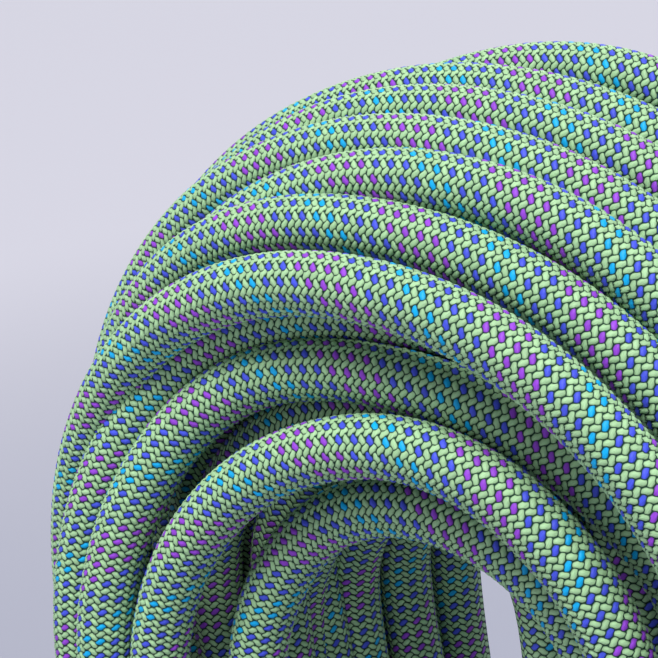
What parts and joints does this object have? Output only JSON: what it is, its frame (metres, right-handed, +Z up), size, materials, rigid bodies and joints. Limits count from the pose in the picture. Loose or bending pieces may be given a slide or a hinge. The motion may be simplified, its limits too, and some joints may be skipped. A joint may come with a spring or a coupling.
{
  "type": "dynamic climbing rope",
  "caption": "Kernmantle climbing rope laid in long turns and bound at the waist with its own end, standing as an upright hank with two sleeved ends hanging below the binding.",
  "frame": {"origin": "middle of the footprint, on the surface that the hank stands on", "axes": "+Z up along the hank, +Y along the eyes of the turns, +X across both legs of the hank"},
  "size_m": [0.176, 0.1174, 0.5099],
  "materials": {
    "braided_sheath": "woven polyamide, light green with blue, purple and cyan tracer yarns, satin",
    "core_yarn": "twisted white polyamide yarn",
    "fused_nylon": "heat-cut polyamide, slightly glossy",
    "shrink_sleeve": "black shrink tube, satin",
    "tracer_film": "thin film"
  },
  "bodies": {
    "root": {"rope_hank": "braided_sheath", "binding_wraps": "braided_sheath", "front_end_sheath": "braided_sheath", "front_end_tip": "fused_nylon", "front_end_sleeve": "shrink_sleeve", "back_end_sheath": "braided_sheath", "back_end_tip": "fused_nylon", "back_end_sleeve": "shrink_sleeve", "core_strand_01": "core_yarn", "core_strand_02": "core_yarn", "core_strand_03": "core_yarn", "core_strand_04": "core_yarn", "core_strand_05": "core_yarn", "core_strand_06": "core_yarn", "core_strand_07": "core_yarn", "core_strand_08": "core_yarn", "core_strand_09": "core_yarn", "core_strand_10": "core_yarn", "core_strand_11": "core_yarn", "core_strand_12": "core_yarn", "tracer_tape": "tracer_film"}
  },
  "joints": []
}
